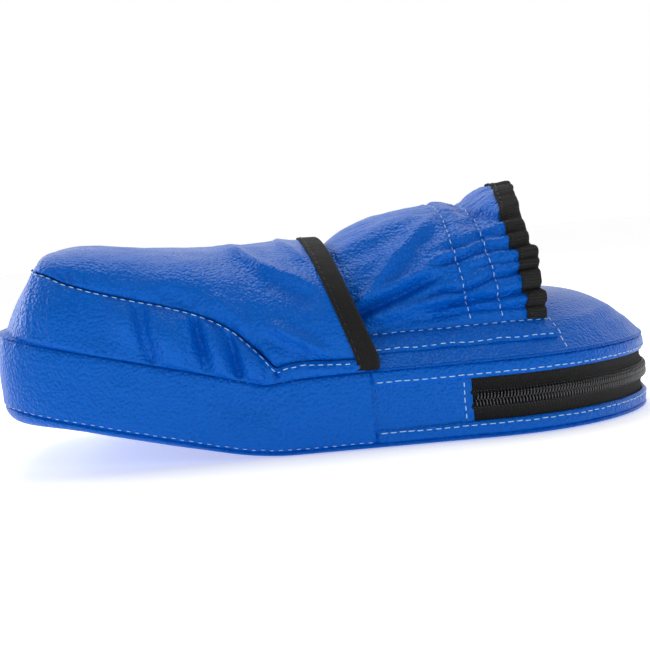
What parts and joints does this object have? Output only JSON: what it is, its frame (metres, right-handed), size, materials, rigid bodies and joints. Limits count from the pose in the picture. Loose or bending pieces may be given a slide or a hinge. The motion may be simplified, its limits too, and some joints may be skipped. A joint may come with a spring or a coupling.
{
  "type": "focus mitt",
  "caption": "Curved hand-worn striking pad with a zipped foam core, a padded finger cover and an elasticated hand sleeve.",
  "frame": {"origin": "centre of the heel's round on the flat palm section of the striking face", "axes": "+X towards the wrist end, -X towards the fingers, +Z from the striking face to the hand side"},
  "size_m": [0.3135, 0.1753, 0.114],
  "materials": {
    "leather_blue": "pebbled royal blue coated fabric with a soft gloss",
    "tape_black": "ribbed black woven tape",
    "nylon_black": "black nylon coil",
    "zinc_black": "black enamelled zinc",
    "foam_grey": "dense closed-cell foam",
    "foam_pale": "open-cell foam",
    "lining_black": "smooth black woven lining",
    "elastic_white": "white braided elastic"
  },
  "bodies": {
    "pad": {"face_panel": "leather_blue", "back_panel": "leather_blue", "finger_end_wall": "leather_blue", "lower_zip_strip": "leather_blue", "upper_zip_strip": "leather_blue", "zip_end_tab_near": "leather_blue", "zip_end_tab_far": "leather_blue", "zip_tape_lower": "tape_black", "zip_tape_upper": "tape_black", "zip_coil_lower": "nylon_black", "zip_coil_upper": "nylon_black", "zip_end_stop_lower": "zinc_black", "zip_end_stop_upper": "zinc_black", "foam_face_layer": "foam_grey", "foam_core_layer": "foam_pale", "foam_back_layer": "foam_pale", "finger_cover_side_band": "leather_blue", "finger_cover_top_panel": "leather_blue", "finger_cover_foam": "foam_pale", "finger_cover_lining": "lining_black", "finger_cover_binding": "tape_black", "hand_sleeve": "leather_blue", "sleeve_elastic": "elastic_white", "cuff_binding": "tape_black", "sleeve_hem_near": "leather_blue", "sleeve_hem_far": "leather_blue"},
    "zip_slider": {"zip_slider_front": "zinc_black", "zip_slider_back": "zinc_black"},
    "pull": {"zip_pull_tab": "zinc_black"}
  },
  "joints": [
    {"name": "zip_slider_travel", "type": "hinge", "parent": "pad", "child": "zip_slider", "pos_m": [0, 0, 0.018], "axis": [0, 0, -1], "range_deg": [0, 168]},
    {"name": "pull_tab_swing", "type": "hinge", "parent": "zip_slider", "child": "pull", "pos_m": [0.0092, 0.08749, 0.018], "axis": [0, 0, 1], "range_deg": [0, 180]}
  ]
}
